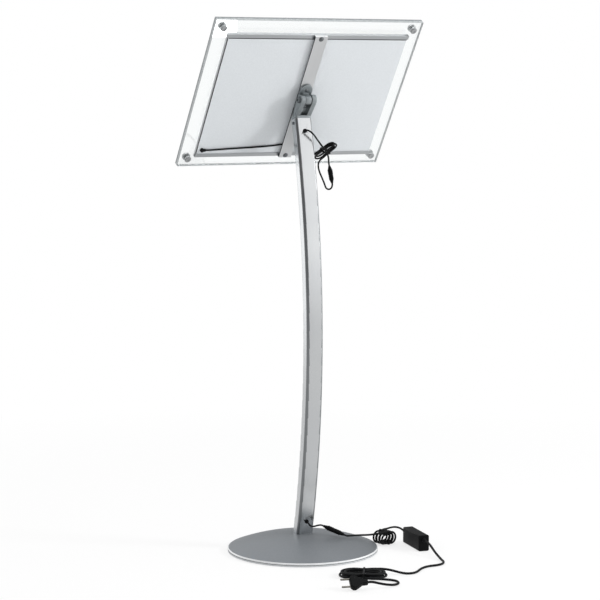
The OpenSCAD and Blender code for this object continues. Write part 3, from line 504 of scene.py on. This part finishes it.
def white_film():
    """White diffusing film: matte, with the faint 4 mm dot grid of the sheet behind it."""
    material, tree, place = blank("white_diffusing_film")
    dots = add(tree, "ShaderNodeTexVoronoi", {
        "Vector": place["Object"], "Scale": 1 / (4 * MM), "Randomness": 0.0})
    tone = two_tone(tree, dots.outputs["Distance"], "#f1f2f1", "#f8f8f7", start=0.0, end=0.6)
    close(tree, {"Base Color": tone, "Roughness": 0.55})
    return material


def light_board():
    """White-masked circuit strip with pale phosphor chips."""
    material, tree, place = blank("white_circuit_strip")
    patch = add(tree, "ShaderNodeTexNoise", {"Vector": place["Object"], "Scale": 1 / (6 * MM)})
    tone = two_tone(tree, patch.outputs["Fac"], "#e3ddb6", "#f0eedd")
    close(tree, {"Base Color": tone, "Roughness": 0.5})
    return material


def pvc_sheath():
    """Extruded PVC sheath: black, satin, with faint rings from its extrusion and light scuffs."""
    material, tree, place = blank("extruded_pvc_black")
    # At this scale a wave along the lead's millimetres repeats about every 3 mm
    rings = add(tree, "ShaderNodeTexWave", {
        "Vector": place["UV"], "Scale": 0.1, "Distortion": 2.0}, bands_direction="X")
    bump = add(tree, "ShaderNodeBump", {
        "Height": rings.outputs["Fac"], "Strength": 0.05, "Distance": 0.0002})
    scuff = add(tree, "ShaderNodeTexNoise", {
        "Vector": place["Object"], "Scale": 1 / (20 * MM), "Detail": 3.0})
    rough_map = add(tree, "ShaderNodeMapRange", {
        "Value": scuff.outputs["Fac"], "To Min": 0.45, "To Max": 0.6})
    close(tree, {
        "Base Color": two_tone(tree, scuff.outputs["Fac"], "#0a0b0c", "#121315"), "IOR": 1.53,
        "Specular IOR Level": 0.15, "Roughness": rough_map.outputs["Result"],
        "Normal": bump.outputs["Normal"]})
    return material


def dress():
    """Gives every solid of the model its finish."""
    metals = {
        drawn_metal("anodised_aluminium_post", "#d3d5d7", "#d9dbdc", rough=0.22, grain_mm=1.5,
                    stretch=(1, 1, 0.02)): ["post"],
        drawn_metal("anodised_aluminium_rails", "#c0c3c5", "#cacdcf", rough=0.36, grain_mm=1.2,
                    stretch=(0.02, 1, 1)): ["rail_top", "rail_bottom"],
        drawn_metal("turned_aluminium", "#c3c5c6", "#cdcfd0", rough=0.5, grain_mm=0.8,
                    stretch=(1, 1, 1)): [
            "corner_nuts", "corner_cap_1", "corner_cap_2", "corner_cap_3", "corner_cap_4"],
        drawn_metal("satin_steel_strap", "#dcdedf", "#e5e6e7", rough=0.4, grain_mm=1.0,
                    stretch=(1, 0.03, 0.03)): ["strap"],
        cast_alloy("die_cast_alloy", "#979da0", "#a6acae", rough=0.42): [
            "post_head", "tilt_knuckle", "foot_plug"],
        plated_metal("zinc_plated_steel", "#6f7376", "#868a8c", rough=0.3): [
            "foot_bolts", "head_screws", "tilt_bolt", "tilt_nut", "knuckle_screws",
            "strap_screws"],
        plated_metal("nickel_plated_brass", "#85827c", "#98958e", rough=0.22): ["plug_pins"]}
    paints = {
        metallic_paint("satin_paint_side_bars", "#d6d9db", "#dee1e2", metallic=0.1,
                       rough=0.5): ["side_rails"],
        metallic_paint("metallic_paint_base", "#7a7f84", "#85898d", metallic=0.5,
                       rough=0.45): ["base_cover"],
        metallic_paint("satin_paint_plate", "#d1d5d8", "#d7dbde", metallic=0.1, rough=0.5,
                       fleck_mm=2.0): ["back_plate"]}
    skins = {
        moulded_skin("painted_iron", "#26282a", "#303234", rough=0.6, grain_mm=2.0,
                     grain_depth=0.3, shine=0.35): ["base_weight"],
        moulded_skin("moulded_rubber", "#121315", "#18191b", rough=0.7, grain_mm=0.8,
                     grain_depth=0.2, shine=0.15): [
            "base_feet", "post_grommet_upper", "post_grommet_lower", "panel_grommet",
            "adapter_relief_dc", "adapter_relief_mains"],
        moulded_skin("dark_trim_plastic", "#2a2c2e", "#333537", rough=0.55, grain_mm=0.8,
                     grain_depth=0.15, shine=0.2): ["plate_gasket", "friction_washers"],
        moulded_skin("moulded_nylon_black", "#0e0f10", "#141516", rough=0.55, grain_mm=0.8,
                     grain_depth=0.15, shine=0.15): ["upper_tie", "dc_tie", "mains_tie"],
        moulded_skin("moulded_abs_black", "#090a0b", "#0f1011", rough=0.5, grain_mm=0.6,
                     grain_depth=0.2, shine=0.1): [
            "link_plug", "link_socket", "coupling_socket", "coupling_plug", "adapter_top",
            "adapter_bottom", "plug_body"]}
    light_unit = {
        cast_acrylic(): ["back_sheet", "front_cover", "light_guide"],
        white_film(): ["reflector", "diffuser"], light_board(): ["led_strips"]}
    for finishes in (metals, paints, skins, light_unit):
        for material, names in finishes.items():
            for name in names:
                nodes[name].data.materials.clear()
                nodes[name].data.materials.append(material)
    # Light passes through the clear sheets to the film
    for name in ("back_sheet", "front_cover", "light_guide"):
        nodes[name].visible_shadow = False


def sheet_edge(centre, normal):
    """1 round the edge of a sheet, 0 on its two large faces."""
    square = Vector((0, math.cos(TILT), -math.sin(TILT)))
    return 0 if abs(normal.dot(square)) > SHEET_FACE else 1


def post_round(centre, normal):
    """1 on the small rounds along the post, 0 on its flat faces and ends."""
    slope = math.asin((centre.z / MM - POST_MID_Z) / POST_R)
    flats = (Vector((1, 0, 0)), Vector((0, math.cos(slope), math.sin(slope))),
             Vector((0, -math.sin(slope), math.cos(slope))))
    return 1 if max(abs(normal.dot(flat)) for flat in flats) < POST_FLAT else 0


def strap_side(centre, normal):
    """1 on the strap's two long sides, 0 elsewhere."""
    return 1 if abs(normal.x) > STRAP_SIDE else 0


def rim_band(centre, normal):
    """Down the base's rim: 1 on the rolled bead, 2 in the groove, 3 below it. 0 elsewhere."""
    if centre.to_2d().length <= RIM_R:
        return 0
    return 1 if centre.z > GROOVE_TOP_Z else 2 if centre.z > GROOVE_FOOT_Z else 3


def dress_faces():
    """Gives edges and rims materials of their own, beside the one that the solid has. The back
    sheet's sawn edge is its own finish. The rest paint light and shade: painted shade on the front
    cover's edge, the post's rounds, the strap's sides and the base's groove, and painted light on
    the base's bead and on the band below its groove.
    """
    edges = {
        "back_sheet": (sheet_edge, [
            sawn_edge("sawn_acrylic_edge_back_sheet", "#8c9294", "#c2c6c8")]),
        # The front cover's edge is darker than the back sheet's: painted shade of the gap behind
        # it, over the real sawn marks
        "front_cover": (sheet_edge, [
            sawn_edge("sawn_acrylic_edge_front_cover_painted_shade", "#61676a", "#979c9e")]),
        # The post's rounds are darker than its flats: painted shade along its edges
        "post": (post_round, [
            drawn_metal("painted_shade_post_rounds", "#989b9d", "#a2a5a7", rough=0.3,
                        grain_mm=1.5, stretch=(1, 1, 0.02))]),
        # The strap's long sides are painted dark: painted shade on the faces that turn from the
        # light
        "strap": (strap_side, [
            drawn_metal("painted_shade_strap_sides", "#55595b", "#626668", rough=0.5, grain_mm=0.8,
                        stretch=(1, 1, 1))]),
        # The base's rim: the near-white bead is a painted highlight, the dark groove is painted
        # shade, and the lighter band below it is painted light on the rim's side
        "base_cover": (rim_band, [
            metallic_paint("metallic_paint_rolled_bead_painted_highlight", "#eaecee", "#f2f3f4", metallic=0.25,
                           rough=0.4),
            metallic_paint("metallic_paint_groove_painted_shade", "#54585b", "#5e6265", metallic=0.5,
                           rough=0.5),
            metallic_paint("metallic_paint_rim_band_painted_light", "#cdd0d3", "#d6d9db", metallic=0.25,
                           rough=0.45)])}
    for name, (choose, finishes) in edges.items():
        data = nodes[name].data
        for finish in finishes:
            data.materials.append(finish)
        for polygon in data.polygons:
            polygon.material_index = choose(polygon.center, polygon.normal)


def part_sheets():
    """Leaves room for a poster between the two sheets."""
    room = nodes["front_cover"].modifiers.new("poster_room", "DISPLACE")
    room.strength = -POSTER_ROOM
    room.mid_level = 0.0


def weld(node):
    """Makes one surface of a solid's facets."""
    node.modifiers.new("weld", "WELD").merge_threshold = WELD_GAP


def soften(names, width_mm, segments=3):
    """Castings, cases and bars have small rounds that catch the light."""
    for name in names:
        weld(nodes[name])
        bevel = nodes[name].modifiers.new("edge_round", "BEVEL")
        bevel.width = width_mm * MM
        bevel.segments = segments
        bevel.limit_method = "ANGLE"
        bevel.angle_limit = SHARP
        bevel.harden_normals = True


def even(names):
    """Long rolled and drawn faces shade evenly, whatever the size of the facets."""
    for name in names:
        weld(nodes[name])
        nodes[name].modifiers.new("even_normals", "WEIGHTED_NORMAL")


def seen_share(tree, ray):
    """1 for rays from the camera, also through the clear sheets."""
    return add(tree, "ShaderNodeMath", {
        0: ray["Is Camera Ray"], 1: ray["Is Transmission Ray"]},
        operation="MAXIMUM").outputs[0]


def toward(tree, direction, way, start, end, before, after):
    """A value that passes from before to after as a direction turns toward a way. start and end
    are the cosines between which it does."""
    along = add(tree, "ShaderNodeVectorMath", {0: direction, 1: way}, operation="DOT_PRODUCT")
    return add(tree, "ShaderNodeMapRange", {
        "Value": along.outputs["Value"], "From Min": start, "From Max": end,
        "To Min": before, "To Max": after}).outputs["Result"]


def white_room():
    """A white room. Metal mirrors two dark cards in it, at the left and at the far right."""
    world = bpy.data.worlds.new("white_room")
    scene.world = world
    world.use_nodes = True
    tree = world.node_tree
    tree.nodes.clear()
    ray = add(tree, "ShaderNodeLightPath", {}).outputs
    direction = add(tree, "ShaderNodeTexCoord", {}).outputs["Generated"]
    mirrored = add(tree, "ShaderNodeMath", {
        0: toward(tree, direction, CARD_LEFT, start=0.1, end=0.29, before=1.15, after=0.22),
        1: toward(tree, direction, CARD_RIGHT, start=0.65, end=0.85, before=1.0, after=0.3)},
        operation="MULTIPLY")
    lit = add(tree, "ShaderNodeMix", {
        "Factor": ray["Is Glossy Ray"], "A": ROOM_LIGHT, "B": mirrored.outputs[0]})
    strength = add(tree, "ShaderNodeMix", {
        "Factor": seen_share(tree, ray), "A": lit.outputs["Result"], "B": 1.0})
    sky = add(tree, "ShaderNodeBackground", {
        "Color": linear("#ffffff"), "Strength": strength.outputs["Result"]})
    add(tree, "ShaderNodeOutputWorld", {"Surface": sky.outputs["Background"]})


def pale_floor():
    """A pale floor that keeps the stand's shadow and fades to white away from it."""
    material, tree, place = blank("pale_floor")
    ray = add(tree, "ShaderNodeLightPath", {}).outputs
    away = add(tree, "ShaderNodeVectorMath", {0: place["Object"]}, operation="LENGTH")
    fade = add(tree, "ShaderNodeMapRange", {
        "Value": away.outputs["Value"], "From Min": 0.3, "From Max": 2.0,
        "To Min": 0.7, "To Max": 1.0})
    share = add(tree, "ShaderNodeMix", {
        "Factor": seen_share(tree, ray), "A": ray["Is Glossy Ray"],
        "B": fade.outputs["Result"]})
    bearing = add(tree, "ShaderNodeVectorMath", {0: place["Object"]}, operation="NORMALIZE")
    mirrored = toward(tree, bearing.outputs["Vector"], CARD_LEFT, start=0.15, end=0.5,
                      before=0.75, after=0.55)
    level = add(tree, "ShaderNodeMix", {
        "Factor": seen_share(tree, ray), "A": mirrored, "B": 1.0})
    matte = add(tree, "ShaderNodeBsdfDiffuse", {"Color": linear("#f6f6f6")})
    glow = add(tree, "ShaderNodeEmission", {
        "Color": linear("#ffffff"), "Strength": level.outputs["Result"]})
    mixed = add(tree, "ShaderNodeMixShader", {
        "Fac": share.outputs["Result"], 1: matte.outputs["BSDF"],
        2: glow.outputs["Emission"]})
    add(tree, "ShaderNodeOutputMaterial", {"Surface": mixed.outputs["Shader"]})

    corners = [(x * FLOOR_HALF, y * FLOOR_HALF, 0)
               for x, y in ((-1, -1), (1, -1), (1, 1), (-1, 1))]
    data = bpy.data.meshes.new("floor")
    data.from_pydata(corners, [], [(0, 1, 2, 3)])
    data.materials.append(material)
    floor = bpy.data.objects.new("floor", data)
    floor.location.z = FLOOR_Z
    scene.collection.objects.link(floor)


def soft_lamps():
    """Soft boxes and strips. The key and the reader's box light matte surfaces only."""
    # Name: place, aim, width, height, watts, spread in degrees, whether metal mirrors it
    lamps = {
        "key_softbox": ((-2.6, 2.4, 1.7), (0, 0, 0.9), 0.6, 0.6, 60, 180, False),
        "overhead_softbox": ((0.2, 0.2, 3.6), (0, 0, 0.4), 2.4, 2.4, 26, 180, True),
        "rear_strip": ((1.5, -2.9, 1.1), (0, 0, 0.6), 1.2, 2.2, 4.5, 180, True),
        "far_strip": ((-2.9, 1.4, 1.0), (0, 0, 0.6), 0.5, 2.0, 8, 180, True),
        "reader_softbox": ((-0.5, -3.0, 1.7), (0, 0, 1.1), 1.5, 1.0, 4.0, 50, False)}
    for name, (place, aim, wide, high, watts, spread, mirrored) in lamps.items():
        lamp = bpy.data.lights.new(name, "AREA")
        lamp.shape = "RECTANGLE"
        lamp.size = wide
        lamp.size_y = high
        lamp.energy = watts
        lamp.spread = math.radians(spread)
        box = bpy.data.objects.new(name, lamp)
        box.visible_glossy = mirrored
        box.location = place
        box.rotation_euler = (Vector(aim) - Vector(place)).to_track_quat("-Z", "Y").to_euler()
        scene.collection.objects.link(box)


place_camera()
dress()
dress_faces()
part_sheets()
lay_leads(pvc_sheath())
soften(["post_head", "tilt_knuckle"], 1.2)
soften(["adapter_top", "adapter_bottom"], 1.0)
soften(["plug_body"], 1.6)
soften(["rail_top", "rail_bottom", "side_rails", "link_plug", "link_socket", "coupling_socket",
        "coupling_plug", "panel_grommet"], 0.4, segments=2)
even(["post", "base_cover"])
white_room()
pale_floor()
soft_lamps()
